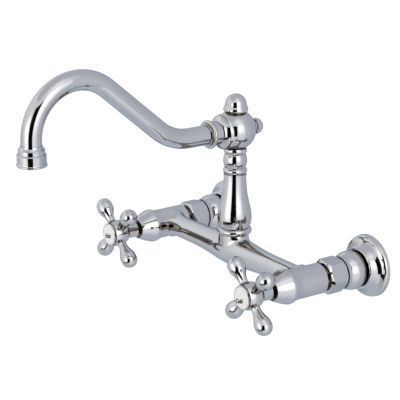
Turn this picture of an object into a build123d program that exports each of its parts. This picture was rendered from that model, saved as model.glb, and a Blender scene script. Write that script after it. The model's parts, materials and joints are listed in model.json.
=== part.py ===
from build123d import *
from math import asin, cos, pi, radians, sin, sqrt
import os

# Wall-mounted bridge faucet: two inlets, two cross handles, a turned column and a swan-neck spout.
# Millimetres. X runs from the hot side to the cold side, Y runs into the wall and Z is up.
# The origin is on the face of the wall, midway between the inlets and level with their axes.

# The whole faucet
INLET_CENTRES = 203.2
COLUMN_TO_WALL = 72.5
SPOUT_REACH = 208.4
HUB_HEIGHT = 112.9

# Clearances
RUNNING_FIT = 0.05
THREAD_FIT = 0.05
SLIP_FIT = 0.1
FACE_GAP = 0.3
DISC_GAP = 0.02
EDGE = 0.4
PICK = 1.0

# Bridge casting
BRIDGE_R = 10.2
BRIDGE_SWELL_R = 14.0
BRIDGE_SWELL_HALF = 75.0
BRIDGE_SHOULDER_AT = 0.45
BRIDGE_SHOULDER_RISE = 0.3
BRIDGE_END_STEP = 0.6
BRIDGE_END_LENGTH = 13.0
BRIDGE_END_INSET = 5.0
BRIDGE_END_SLOPE = 0.6
BRIDGE_BORE_R = 5.2
BOSS_R = 13.2
BOSS_HEIGHT = 16.4
BOSS_FLARE = 7.0
BARREL_R = 13.6
BARREL_FLANGE_R = 15.4
BARREL_FLANGE_WIDTH = 2.2
BARREL_FLARE_LENGTH = 9.0
BARREL_FLARE_AT = 0.45
BARREL_FLARE_RISE = 0.28
BARREL_FRONT = 23.5
BARREL_REAR = 15.0
BARREL_EDGE = 0.8
BARREL_BLEND = 3.0
SPIGOT_R = 12.0
SPIGOT_LENGTH = 4.5
CARTRIDGE_BORE_R = 9.5
SEAT_OFFSET = 12.0
SEAT_HOLE_R = 6.3
TAIL_R = 9.2
TAIL_COLLAR_R = 10.9
TAIL_COLLAR_WIDTH = 2.6
WATERWAY_R = 6.5

# Union nut, washer and strainer
NUT_GAP = 3.9
NUT_LENGTH = 17.6
NUT_FLATS = 28.0
NUT_TURN = 5.0
COLD_NUT_TURN = 48.0
NUT_CORNER_R = 16.1
NUT_FRONT_R = 12.9
NUT_BACK_R = 14.4
NUT_FRONT_BEVEL = 1.9
NUT_BACK_BEVEL = 1.8
NUT_LIP = 3.0
UNION_THREAD_R = 11.2
UNION_WASHER = 2.0
STRAINER_R = 8.0
STRAINER_THICKNESS = 1.0
STRAINER_HOLE_R = 0.7
STRAINER_PITCH = 1.8

# Inlet connector behind the nut
CONNECTOR_GROOVE = 1.3
CONNECTOR_BAND_R = 14.6
CONNECTOR_BAND_WIDTH = 3.0
BULB_R = 17.4
BULB_FRONT_LENGTH = 9.7
BULB_REAR_LENGTH = 4.5
BULB_REAR_R = 16.6
CONNECTOR_REAR_R = 13.0
CONNECTOR_TO_WALL = 2.0
INLET_HOLE_R = 9.32
INLET_HOLE_DEPTH = 14.0

# Wall flange
FLANGE_R = 28.2
FLANGE_RIM = 2.2
FLANGE_RIM_TAPER = 0.3
FLANGE_WALL = 1.6
FLANGE_SHOULDER_R = 26.3
FLANGE_SHOULDER = 2.8
FLANGE_HIP_R = 23.3
FLANGE_HIP = 1.7
FLANGE_WAIST_R = 21.2
FLANGE_WAIST = 2.4
FLANGE_NECK_R = 19.3
FLANGE_NECK = 3.9
FLANGE_CREST_R = 16.8
FLANGE_CREST = 2.0
FLANGE_MOUTH_R = 15.6
FLANGE_SLEEVE_LENGTH = 6.5
GRIP_RING_FROM_WALL = 11.4
GASKET_WIDTH = 2.4
GASKET_THICKNESS = 1.0

# Ceramic cartridge
CARTRIDGE_FLANGE_R = 10.3
CARTRIDGE_FLANGE_WIDTH = 2.0
CARTRIDGE_HEX_FLATS = 15.0
CARTRIDGE_HEX_WIDTH = 3.0
CARTRIDGE_CHAMBER_R = 8.0
CARTRIDGE_CHAMBER_FRONT = 10.0
CARTRIDGE_WINDOW_R = 3.6
SEAL_THICKNESS = 2.0
SEAL_HOLE_R = 6.6
DISC_R = 7.8
DISC_THICKNESS = 2.5
DISC_PORT_R = 2.2
DISC_PORT_OFFSET = 4.2
DRIVER_R = 7.4
DRIVER_THICKNESS = 2.4
DRIVER_WIDTH = 3.6
DRIVER_DEPTH = 1.2
SPINDLE_R = 5.0
SPINDLE_RING_SECTION = 0.8
SPINDLE_RING_FIRST = 18.0
SPINDLE_RING_PITCH = 5.0
CIRCLIP_GROOVE_R = 4.2
CIRCLIP_R = 6.2
CIRCLIP_THICKNESS = 0.8
CIRCLIP_OPENING = 4.0
SPLINE_R = 4.1
SPLINE_DEPTH = 0.35
SPLINE_TEETH = 20
SPLINE_PARTS = (0.0, 0.3, 0.5, 0.8)
SPLINE_LENGTH = 16.5

# Bonnet
BONNET_FRONT_R = 9.6
BONNET_LENGTH = 14.6
BONNET_BULGE = 0.35
BONNET_WALL = 1.6
BONNET_HOLE_GAP = 0.6
BONNET_SPIGOT_GAP = 1.0

# Cross handle
HANDLE_FACE = 69.4
HANDLE_RIM_R = 10.6
HANDLE_RIM_WIDTH = 0.8
HANDLE_GROOVE_R = 9.9
HANDLE_GROOVE_WIDTH = 1.1
HANDLE_SHOULDER_R = 10.8
HANDLE_HUB_R = 12.3
HANDLE_HUB_LENGTH = 18.0
HANDLE_HUB_REAR_R = 8.6
SKIRT_FRONT_R = 7.0
SKIRT_REAR_R = 7.6
SKIRT_GAP = 3.0
ARM_PLANE = 60.5
ARM_COUNT = 4
ARM_TURN = 45.0
COLD_ARM_TURN = 2.8
ARM_BALL_R = 7.6
ARM_BALL_CENTRE = 29.2
ARM_WAIST_R = 3.9
ARM_WAIST_AT = 13.5
ARM_ROOT_R = 5.2
ARM_ROOT_AT = 8.0
ARM_ROOT_SLOPE = 0.5
ARM_SWELL_AT = 0.5
ARM_SWELL_RISE = 0.56
BUTTON_R = 9.4
BUTTON_THICKNESS = 2.9
BUTTON_CROWN = 0.5
SCREW_R = 2.5
SCREW_HEAD_R = 4.6
SCREW_HEAD_HEIGHT = 2.8
SCREW_LENGTH = 14.0
SCREW_SOCKET_FLATS = 3.0
SCREW_SOCKET_DEPTH = 1.6
HANDLE_WEB = 5.0

# Column
COLUMN_THREAD_R = 8.9
COLUMN_THREAD_LENGTH = 9.4
COLUMN_BORE_R = 4.2
COLUMN_GASKET = 0.8
COLUMN_GASKET_R = 12.2
BASE_RING_R = 15.7
BASE_RING_HEIGHT = 5.8
VASE_FOOT_R = 13.7
VASE_FOOT_RISE = 0.6
VASE_HIP_R = 14.85
VASE_HIP_Z = 26.0
VASE_BELLY_R = 15.5
VASE_BELLY_Z = 32.0
VASE_WAIST_R = 12.0
VASE_WAIST_Z = 51.0
VASE_TAPER_R = 10.65
VASE_TAPER_Z = 61.0
VASE_NECK_R = 10.1
VASE_TOP = 71.0
FILLET_RING_R = 10.4
FILLET_RING_HEIGHT = 1.6
MID_RING_R = 10.9
MID_RING_HEIGHT = 5.2
BEAD_R = 10.8
BEAD_HEIGHT = 12.0
TOP_RING_R = 10.5
GROOVE_R = 9.4
GROOVE_HEIGHT = 0.5

# Swivel joint between the column and the spout hub
HUB_R = 18.5
HUB_FOOT_DROP = 16.2
HUB_CROWN_RISE = 16.3
SWIVEL_WASHER = 1.0
SWIVEL_WASHER_R = 8.0
SWIVEL_R = 7.0
SWIVEL_NECK_R = 5.2
SWIVEL_SHOULDER_RISE = 8.6
SWIVEL_LEDGE_RISE = 10.8
SWIVEL_TOP_RISE = 12.0
SWIVEL_RING_SECTION = 0.75
SWIVEL_RING_RISES = (-9.0, 6.9)
SWIVEL_PORT_R = 2.5
SWIVEL_CHAMBER_R = 9.0
SWIVEL_CHAMBER_HALF = 4.4
HUB_WELL_R = 7.4
KEEPER_THICKNESS = 1.5

# Finial
FINIAL_STUB_R = 7.0
FINIAL_BASE_R = 10.2
FINIAL_BEAD_R = 11.1
FINIAL_BEAD_AT = 0.45
FINIAL_BEAD_HEIGHT = 6.4
FINIAL_DOME_R = 9.75
FINIAL_WAIST_R = 10.05
FINIAL_WAIST_AT = 0.86
FINIAL_THREAD_R = 2.5
FINIAL_THREAD_LENGTH = 5.5

# Ferrule with the band and the collar that carries the tube
BAND_BACK = 13.2
BAND_WIDTH = 2.9
BAND_R = 16.0
BAND_FACE_R = 15.3
BAND_GROOVE = 0.5
FERRULE_DOME_R = 15.1
FERRULE_DOME_SIDE_R = 13.6
FERRULE_DOME_SIDE = 1.8
FERRULE_DOME_LENGTH = 3.9
FERRULE_NECK_R = 10.4
FERRULE_THREAD_R = 9.4
FERRULE_THREAD_LENGTH = 5.0
FERRULE_SEAL_R = 10.9
FERRULE_SEAL = 0.8
COLLAR_R = 12.8
COLLAR_FROM_AXIS = 29.6
COLLAR_WIDTH = 3.6
COLLAR_STEP_R = 10.0
COLLAR_STEP_WIDTH = 1.8
TUBE_IN_FERRULE = 12.0

# Rear knob
KNOB_R = 7.3
KNOB_COLLAR_R = 6.3
KNOB_COLLAR_WIDTH = 2.8
KNOB_SIDE = 1.0
KNOB_THREAD_R = 5.0
KNOB_THREAD_LENGTH = 7.0
KNOB_SEAT_R = 6.9
KNOB_SEAL_R = 6.2
KNOB_SEAL = 1.0

# Spout tube
TUBE_R = 8.85
TUBE_WALL = 1.2
FIRST_STRAIGHT = 50.7
FIRST_BEND_R = 50.3
RISE_ANGLE = 40.3
ARCH_R = 44.4
OUTLET_DROP = 6.7

# Aerator
ADAPTER_R = 11.3
ADAPTER_FLARE = 2.9
ADAPTER_HEIGHT = 3.9
ADAPTER_SOCKET = 2.5
ADAPTER_LIP = 0.3
ADAPTER_FLARE_AT = 0.3
ADAPTER_FLARE_DROP = 0.6
ADAPTER_THREAD_R = 10.4
ADAPTER_THREAD_LENGTH = 3.6
HOUSING_R = 12.4
HOUSING_BEVEL = 0.8
HOUSING_HEIGHT = 10.6
HOUSING_LIP_R = 12.9
HOUSING_LIP_HEIGHT = 2.4
HOUSING_LIP_STEP = 0.6
HOUSING_TAPER = 0.2
HOUSING_MOUTH_R = 9.0
HOUSING_FLOOR = 1.2
INSERT_HEIGHT = 3.2
INSERT_HOLE_R = 0.9
INSERT_PITCH = 2.6
SCREEN_THICKNESS = 0.4
SCREEN_HOLE_R = 0.5
SCREEN_PITCH = 1.7
AERATOR_WASHER_BORE_R = 8.4

half = INLET_CENTRES / 2
bridgeY = -COLUMN_TO_WALL
sides = {"hot": -half, "cold": half}


# Closed outline. A stop is a corner, a pair (point on an arc, its end) or a list of spline points.
def outline(place, stops):
    edges = []
    here = stops[0]
    for stop in stops[1:]:
        if isinstance(stop, list):
            edges.append(Spline(place(here), *[place(point) for point in stop]))
            here = stop[-1]
        elif isinstance(stop[0], tuple):
            edges.append(ThreePointArc(place(here), place(stop[0]), place(stop[1])))
            here = stop[1]
        else:
            edges.append(Line(place(here), place(stop)))
            here = stop
    edges.append(Line(place(here), place(stops[0])))
    return make_face(edges)


# Body turned about Y from stops of (radius, y)
def turnedY(*stops):
    return revolve(outline(lambda stop: (stop[0], stop[1], 0), stops), Axis.Y)


# Body turned about Z from stops of (radius, z)
def turnedZ(*stops):
    return revolve(outline(lambda stop: (stop[0], 0, stop[1]), stops), Axis.Z)


# Plain ring along Y, or a plain disc where the inner radius is nought
def ringY(outer, inner, start, end):
    return turnedY((inner, start), (outer, start), (outer, end), (inner, end))


# Plain ring along Z, or a plain disc where the inner radius is nought
def ringZ(outer, inner, low, high):
    return turnedZ((inner, low), (outer, low), (outer, high), (inner, high))


# Round bar along X
def barX(radius, start, end):
    return Pos((start + end) / 2, 0, 0) * Rot(0, 90, 0) * Cylinder(radius, end - start)


# Hexagonal bar along Y
def hexY(flats, start, end, turn=0):
    face = Plane.XZ * Rot(0, 0, turn) * RegularPolygon(flats / 2, 6, major_radius=False)
    return Pos(0, start, 0) * extrude(face, end - start, dir=(0, 1, 0))


# Block centred on X and Z, from one y to another
def blockY(width, height, start, end):
    return Pos(0, (start + end) / 2, 0) * Box(width, end - start, height)


# O-ring about Z with a round section, measured to its outside
def sealRing(outer, section):
    return Torus(outer - section, section)


# Cut for the square groove that holds such an O-ring on a shaft
def sealGroove(shaft, section):
    return ringZ(shaft + section, shaft - 2 * section, -section - SLIP_FIT, section + SLIP_FIT)


# Centres of holes: one in the middle, six round it, twelve round those
def holeRings(pitch, rings):
    spots = [(0.0, 0.0)]
    for ring in range(1, rings + 1):
        for step in range(6 * ring):
            angle = 2 * pi * step / (6 * ring)
            spots.append((ring * pitch * cos(angle), ring * pitch * sin(angle)))
    return spots


# Radius of the hub's ball at a distance from its middle
def ballRadius(offset):
    return sqrt(HUB_R**2 - offset**2)


# Valve line, from the front of the barrel to the wall
barrelFace = bridgeY - BARREL_FRONT
spigotFace = barrelFace - SPIGOT_LENGTH
barrelBack = bridgeY + BARREL_REAR
seatY = bridgeY + SEAT_OFFSET
nutFront = barrelBack + NUT_GAP
nutBack = nutFront + NUT_LENGTH
collarFront = nutFront + NUT_LIP + SLIP_FIT
tailEnd = collarFront + TAIL_COLLAR_WIDTH
connectorFront = tailEnd + UNION_WASHER
bandFront = nutBack + CONNECTOR_GROOVE
bulbFront = bandFront + CONNECTOR_BAND_WIDTH
bulbTop = bulbFront + BULB_FRONT_LENGTH
bulbBack = bulbTop + BULB_REAR_LENGTH
connectorBack = -CONNECTOR_TO_WALL

# Flange, from its rim on the wall to the crest of its mouth
flangeShoulder = -FLANGE_RIM - FLANGE_SHOULDER
flangeHip = flangeShoulder - FLANGE_HIP
flangeWaist = flangeHip - FLANGE_WAIST
flangeNeck = flangeWaist - FLANGE_NECK
flangeCrest = flangeNeck - FLANGE_CREST

# Cartridge, from the seat forward
cartridgeBack = seatY - SEAL_THICKNESS
fixedDiscFront = cartridgeBack - DISC_THICKNESS
movingDiscBack = fixedDiscFront - DISC_GAP
movingDiscFront = movingDiscBack - DISC_THICKNESS
driverFront = movingDiscFront - DRIVER_THICKNESS
chamberFront = bridgeY - CARTRIDGE_CHAMBER_FRONT
windowY = (driverFront + bridgeY - BRIDGE_BORE_R) / 2
cartridgeHexBack = spigotFace - CARTRIDGE_FLANGE_WIDTH
cartridgeFront = cartridgeHexBack - CARTRIDGE_HEX_WIDTH
circlipBack = cartridgeFront - RUNNING_FIT
bonnetFront = barrelFace - BONNET_LENGTH
skirtEnd = bonnetFront - SKIRT_GAP
bonnetHoleR = SPINDLE_R + BONNET_HOLE_GAP

# Handle, from its face back to the spindle
handleFace = bridgeY - HANDLE_FACE
handleHubBack = handleFace + HANDLE_HUB_LENGTH
buttonSeat = handleFace + BUTTON_THICKNESS
screwSeat = buttonSeat + SCREW_HEAD_HEIGHT + FACE_GAP
splineStart = screwSeat + HANDLE_WEB
armY = bridgeY - ARM_PLANE
spindleShoulder = skirtEnd + SLIP_FIT
spindleEnd = spindleShoulder - SPLINE_LENGTH

# Column, from the boss up
columnFoot = BOSS_HEIGHT - COLUMN_THREAD_LENGTH
baseTop = BOSS_HEIGHT + BASE_RING_HEIGHT
hubFoot = HUB_HEIGHT - HUB_FOOT_DROP
columnTop = hubFoot - FACE_GAP
filletRingTop = VASE_TOP + FILLET_RING_HEIGHT
midRingFoot = filletRingTop + GROOVE_HEIGHT
midRingTop = midRingFoot + MID_RING_HEIGHT
beadFoot = midRingTop + GROOVE_HEIGHT
beadTop = beadFoot + BEAD_HEIGHT
topRingFoot = beadTop + GROOVE_HEIGHT

# Swivel
washerTop = columnTop + SWIVEL_WASHER
swivelShoulder = HUB_HEIGHT + SWIVEL_SHOULDER_RISE
swivelTop = HUB_HEIGHT + SWIVEL_TOP_RISE
hubLedge = HUB_HEIGHT + SWIVEL_LEDGE_RISE
hubCrown = HUB_HEIGHT + HUB_CROWN_RISE
keeperTop = swivelTop + KEEPER_THICKNESS

# Spout, measured forward from the column axis
bandFace = BAND_BACK + BAND_WIDTH
domeBack = bandFace + BAND_GROOVE
domeSide = domeBack + FERRULE_DOME_SIDE
domeFront = domeBack + FERRULE_DOME_LENGTH
collarBack = COLLAR_FROM_AXIS - COLLAR_WIDTH / 2
collarFace = COLLAR_FROM_AXIS + COLLAR_WIDTH / 2
ferruleFace = collarFace + COLLAR_STEP_WIDTH
tubeStart = ferruleFace - TUBE_IN_FERRULE
tubeBoreR = TUBE_R - TUBE_WALL
knobSeat = sqrt(HUB_R**2 - KNOB_SEAT_R**2)

# Swan neck: first straight, rising bend, sloping straight, arch and drop
rise = radians(RISE_ANGLE)
bendRun = FIRST_BEND_R * sin(rise)
archRun = ARCH_R * (1 + sin(rise))
slope = (SPOUT_REACH - FIRST_STRAIGHT - bendRun - archRun) / cos(rise)
archEnd = HUB_HEIGHT + FIRST_BEND_R * (1 - cos(rise)) + slope * sin(rise) - ARCH_R * cos(rise)
flareTop = archEnd - OUTLET_DROP + ADAPTER_FLARE
adapterTop = archEnd - OUTLET_DROP
adapterFoot = adapterTop - ADAPTER_HEIGHT
adapterEnd = adapterFoot - ADAPTER_THREAD_LENGTH
housingTop = adapterFoot - SLIP_FIT
housingFoot = housingTop - HOUSING_HEIGHT
housingFloor = housingFoot + HOUSING_FLOOR
insertTop = housingFloor + INSERT_HEIGHT
screenTop = insertTop + SCREEN_THICKNESS
outletY = bridgeY - SPOUT_REACH


# Swelling of the bridge from its plain tube to the middle
def bridgeSwelling():
    shoulder = BRIDGE_R + BRIDGE_SHOULDER_RISE * (BRIDGE_SWELL_R - BRIDGE_R)
    at = BRIDGE_SHOULDER_AT * BRIDGE_SWELL_HALF
    top = Spline(
        (-BRIDGE_SWELL_HALF, BRIDGE_R),
        (-at, shoulder),
        (0, BRIDGE_SWELL_R),
        (at, shoulder),
        (BRIDGE_SWELL_HALF, BRIDGE_R),
        tangents=[(1, 0), (1, 0)],
    )
    ends = Polyline(top @ 1, (BRIDGE_SWELL_HALF, 0), (-BRIDGE_SWELL_HALF, 0), top @ 0)
    return revolve(make_face(top.edges() + ends.edges()), Axis.X)


# End of the bridge: it widens in a curve and runs on inside the barrel
def bridgeEnd():
    endR = BARREL_R - BRIDGE_END_STEP
    end = half - BARREL_R + BRIDGE_END_INSET
    start = end - BRIDGE_END_LENGTH
    curve = Spline((start, BRIDGE_R), (end, endR), tangents=[(1, 0), (1, BRIDGE_END_SLOPE)])
    rest = Polyline((end, endR), (half, endR), (half, 0), (start, 0), (start, BRIDGE_R))
    return revolve(make_face(curve + rest), Axis.X)


# Outside of one valve barrel with its front spigot and rear tail
def barrelShape():
    flangeBack = barrelFace + BARREL_FLANGE_WIDTH
    flareEnd = flangeBack + BARREL_FLARE_LENGTH
    flareR = BARREL_R + BARREL_FLARE_RISE * (BARREL_FLANGE_R - BARREL_R)
    return turnedY(
        (0, spigotFace),
        (SPIGOT_R, spigotFace),
        (SPIGOT_R, barrelFace),
        (BARREL_FLANGE_R, barrelFace),
        (BARREL_FLANGE_R, flangeBack),
        ((flareR, flangeBack + BARREL_FLARE_AT * BARREL_FLARE_LENGTH), (BARREL_R, flareEnd)),
        (BARREL_R, barrelBack - BARREL_EDGE),
        (BARREL_R - BARREL_EDGE, barrelBack),
        (TAIL_R, barrelBack),
        (TAIL_R, collarFront),
        (TAIL_COLLAR_R, collarFront),
        (TAIL_COLLAR_R, tailEnd),
        (0, tailEnd),
    )


# Cavity for the cartridge, the valve seat and the passage out through the tail
def barrelCavity():
    return turnedY(
        (0, spigotFace),
        (CARTRIDGE_BORE_R, spigotFace),
        (CARTRIDGE_BORE_R, seatY),
        (SEAT_HOLE_R, seatY),
        (SEAT_HOLE_R, barrelBack),
        (WATERWAY_R, barrelBack),
        (WATERWAY_R, tailEnd),
        (0, tailEnd),
    )


def makeBridge():
    body = barX(BRIDGE_R, -half, half) + bridgeSwelling()
    body += Pos(0, 0, BOSS_HEIGHT / 2) * Cylinder(BOSS_R, BOSS_HEIGHT)
    bossFoot = body.edges().filter_by(lambda edge: PICK < edge.center().Z < BOSS_HEIGHT - PICK)
    bossFoot = bossFoot.filter_by(lambda edge: abs(edge.center().X) < BOSS_R)
    body = fillet(bossFoot, BOSS_FLARE)
    body = Pos(0, bridgeY, 0) * body
    for side in (-1, 1):
        face = Rot(0, 90 - 90 * side, 0)
        body += Pos(0, bridgeY, 0) * face * bridgeEnd()
        body += Pos(side * half, 0, 0) * face * barrelShape()
        root = body.edges().filter_by(lambda edge: abs(edge.center().Y - bridgeY) < PICK)
        root = root.filter_by(lambda edge: half - BARREL_R < side * edge.center().X < half - BRIDGE_R / 2)
        body = fillet(root, BARREL_BLEND)
    body -= Pos(0, bridgeY, 0) * barX(BRIDGE_BORE_R, -half, half)
    for place in sides.values():
        body -= Pos(place, 0, 0) * barrelCavity()
    thread = ringZ(COLUMN_THREAD_R + THREAD_FIT, 0, columnFoot - THREAD_FIT, BOSS_HEIGHT)
    shaft = ringZ(COLUMN_BORE_R, 0, 0, BOSS_HEIGHT)
    return body - Pos(0, bridgeY, 0) * (thread + shaft)


# Union nut: hexagon with rounded ends, a lip that catches the tail's collar and a threaded bore
def makeUnionNut(turn):
    blank = turnedY(
        (0, nutFront),
        (NUT_FRONT_R, nutFront),
        (NUT_CORNER_R, nutFront + NUT_FRONT_BEVEL),
        (NUT_CORNER_R, nutBack - NUT_BACK_BEVEL),
        (NUT_BACK_R, nutBack),
        (0, nutBack),
    )
    nut = blank & hexY(NUT_FLATS, nutFront, nutBack, turn)
    nut -= ringY(TAIL_R + SLIP_FIT, 0, nutFront, nutFront + NUT_LIP)
    return nut - ringY(UNION_THREAD_R, 0, nutFront + NUT_LIP, nutBack)


def makeUnionWasher():
    return ringY(TAIL_COLLAR_R, WATERWAY_R, tailEnd, connectorFront)


# Strainer: a pierced disc let into the front of the connector
def makeStrainer():
    disc = ringY(STRAINER_R, 0, connectorFront, connectorFront + STRAINER_THICKNESS)
    for x, z in holeRings(STRAINER_PITCH, 3):
        disc -= Pos(x, 0, z) * ringY(STRAINER_HOLE_R, 0, connectorFront, connectorFront + STRAINER_THICKNESS)
    return disc


def makeConnector():
    strainerBack = connectorFront + STRAINER_THICKNESS
    holeFoot = connectorBack - INLET_HOLE_DEPTH
    return turnedY(
        (STRAINER_R + THREAD_FIT, connectorFront),
        (UNION_THREAD_R - THREAD_FIT, connectorFront),
        (UNION_THREAD_R - THREAD_FIT, bandFront),
        (CONNECTOR_BAND_R, bandFront),
        (CONNECTOR_BAND_R, bulbFront),
        ((BULB_R, bulbTop), (BULB_REAR_R, bulbBack)),
        (CONNECTOR_REAR_R, bulbBack),
        (CONNECTOR_REAR_R, connectorBack),
        (INLET_HOLE_R, connectorBack),
        (INLET_HOLE_R, holeFoot),
        (WATERWAY_R, holeFoot),
        (WATERWAY_R, strainerBack),
        (STRAINER_R + THREAD_FIT, strainerBack),
    )


# Rubber ring on the connector that grips the flange's sleeve
def makeGripRing():
    outer = FLANGE_MOUTH_R - SLIP_FIT
    section = (outer - CONNECTOR_REAR_R) / 2
    return Pos(0, -GRIP_RING_FROM_WALL, 0) * Rot(90, 0, 0) * sealRing(outer, section)


# Wall flange: a hollow bell that narrows to a rolled mouth with a sleeve turned back inside
def makeFlange():
    inner = FLANGE_R - FLANGE_WALL
    inward = FLANGE_WALL * sin(radians(45))
    sleeveR = FLANGE_MOUTH_R + FLANGE_WALL
    roundR = (FLANGE_NECK_R - FLANGE_CREST_R) * sin(radians(45))
    roundRise = FLANGE_CREST * sin(radians(45))
    sleeveBack = flangeCrest + FLANGE_SLEEVE_LENGTH
    bell = [
        (FLANGE_HIP_R, flangeHip),
        (FLANGE_WAIST_R, flangeWaist),
        (FLANGE_NECK_R, flangeNeck),
    ]
    hollow = [(radius - inward, y + inward) for radius, y in bell]
    shoulderR = (FLANGE_R - FLANGE_RIM_TAPER + FLANGE_SHOULDER_R) / 2 + inward / 4
    shoulderY = (flangeShoulder - FLANGE_RIM) / 2 - inward / 4
    return turnedY(
        (inner, 0),
        (FLANGE_R, 0),
        (FLANGE_R - FLANGE_RIM_TAPER, -FLANGE_RIM),
        ((shoulderR, shoulderY), (FLANGE_SHOULDER_R, flangeShoulder)),
        bell,
        ((FLANGE_CREST_R + roundR, flangeNeck - roundRise), (FLANGE_CREST_R, flangeCrest)),
        (FLANGE_MOUTH_R + EDGE, flangeCrest),
        (FLANGE_MOUTH_R, flangeCrest + EDGE),
        (FLANGE_MOUTH_R, sleeveBack),
        (sleeveR, sleeveBack),
        (sleeveR, flangeNeck),
        *reversed(hollow),
        (FLANGE_SHOULDER_R - inward, flangeShoulder + inward),
        (inner, -FLANGE_RIM),
    )


# Foam ring inside the flange's rim, against the wall
def makeFlangeGasket():
    outer = FLANGE_R - FLANGE_WALL - SLIP_FIT
    return ringY(outer, outer - GASKET_WIDTH, -GASKET_THICKNESS, 0)


def makeCartridge():
    body = turnedY(
        (CARTRIDGE_CHAMBER_R, cartridgeBack),
        (CARTRIDGE_BORE_R - SLIP_FIT, cartridgeBack),
        (CARTRIDGE_BORE_R - SLIP_FIT, spigotFace),
        (CARTRIDGE_FLANGE_R, spigotFace),
        (CARTRIDGE_FLANGE_R, cartridgeHexBack),
        (SPINDLE_R + RUNNING_FIT, cartridgeHexBack),
        (SPINDLE_R + RUNNING_FIT, chamberFront),
        (CARTRIDGE_CHAMBER_R, chamberFront),
    )
    body += hexY(CARTRIDGE_HEX_FLATS, cartridgeFront, cartridgeHexBack)
    body -= ringY(SPINDLE_R + RUNNING_FIT, 0, cartridgeFront, cartridgeHexBack)
    return body - Pos(0, windowY, 0) * barX(CARTRIDGE_WINDOW_R, -CARTRIDGE_BORE_R, CARTRIDGE_BORE_R)


def makeSeatSeal():
    return ringY(CARTRIDGE_BORE_R - SLIP_FIT, SEAL_HOLE_R, cartridgeBack, seatY)


# Fixed disc: its two ports lie above and below the axis
def makeFixedDisc():
    disc = ringY(DISC_R, 0, fixedDiscFront, cartridgeBack)
    for side in (-1, 1):
        port = ringY(DISC_PORT_R, 0, fixedDiscFront, cartridgeBack)
        disc -= Pos(0, 0, side * DISC_PORT_OFFSET) * port
    return disc


# Moving disc: its ports lie to the left and right while the valve is shut, with a slot for the driver
def makeMovingDisc():
    disc = ringY(DISC_R, 0, movingDiscFront, movingDiscBack)
    for side in (-1, 1):
        port = ringY(DISC_PORT_R, 0, movingDiscFront, movingDiscBack)
        disc -= Pos(side * DISC_PORT_OFFSET, 0, 0) * port
    slotWidth = DRIVER_WIDTH + 2 * SLIP_FIT
    return disc - blockY(slotWidth, 2 * DISC_R, movingDiscFront, movingDiscFront + DRIVER_DEPTH + SLIP_FIT)


# Toothed bar for the splined end of the spindle; a wider one cuts the handle's hole
def splineBar(widen, start, end):
    points = []
    for tooth in range(SPLINE_TEETH):
        root = SPLINE_R - SPLINE_DEPTH
        for part, radius in zip(SPLINE_PARTS, (SPLINE_R, SPLINE_R, root, root)):
            angle = 2 * pi * (tooth + part) / SPLINE_TEETH
            points.append(((radius + widen) * cos(angle), start, (radius + widen) * sin(angle)))
    return extrude(make_face(Polyline(*points, close=True)), end - start, dir=(0, 1, 0))


def spindleRingPlaces():
    first = bridgeY - SPINDLE_RING_FIRST
    return (first, first - SPINDLE_RING_PITCH)


def makeSpindle():
    body = ringY(SPINDLE_R, 0, spindleShoulder, driverFront)
    bar = ringY(DRIVER_R, 0, driverFront, movingDiscFront + DRIVER_DEPTH)
    body += bar & blockY(DRIVER_WIDTH, 2 * DRIVER_R, driverFront, movingDiscFront + DRIVER_DEPTH)
    body += splineBar(0, spindleEnd, spindleShoulder)
    for place in spindleRingPlaces():
        body -= Pos(0, place, 0) * Rot(90, 0, 0) * sealGroove(SPINDLE_R, SPINDLE_RING_SECTION)
    body -= ringY(CIRCLIP_R, CIRCLIP_GROOVE_R, circlipBack - CIRCLIP_THICKNESS, circlipBack)
    return body - ringY(SCREW_R + THREAD_FIT, 0, spindleEnd, screwSeat + SCREW_LENGTH + FACE_GAP)


def makeSpindleRings():
    return Compound([
        Pos(0, place, 0) * Rot(90, 0, 0) * sealRing(SPINDLE_R, SPINDLE_RING_SECTION)
        for place in spindleRingPlaces()
    ])


def makeCirclip():
    ring = ringY(CIRCLIP_R, CIRCLIP_GROOVE_R, circlipBack - CIRCLIP_THICKNESS, circlipBack)
    opening = blockY(CIRCLIP_OPENING, CIRCLIP_R, circlipBack - CIRCLIP_THICKNESS, circlipBack)
    return ring - Pos(0, 0, -CIRCLIP_R) * opening


# Bonnet: a hollow cone that sits on the barrel's spigot
def makeBonnet():
    middleR = (BONNET_FRONT_R + BARREL_FLANGE_R) / 2 + BONNET_BULGE
    middleY = (bonnetFront + barrelFace) / 2
    boreR = SPIGOT_R + THREAD_FIT
    return turnedY(
        (bonnetHoleR, bonnetFront),
        (BONNET_FRONT_R - EDGE, bonnetFront),
        (BONNET_FRONT_R, bonnetFront + EDGE),
        ((middleR, middleY), (BARREL_FLANGE_R, barrelFace)),
        (boreR, barrelFace),
        (boreR, spigotFace - BONNET_SPIGOT_GAP),
        (BONNET_FRONT_R - BONNET_WALL, bonnetFront + BONNET_WALL),
        (bonnetHoleR, bonnetFront + BONNET_WALL),
    )


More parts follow.
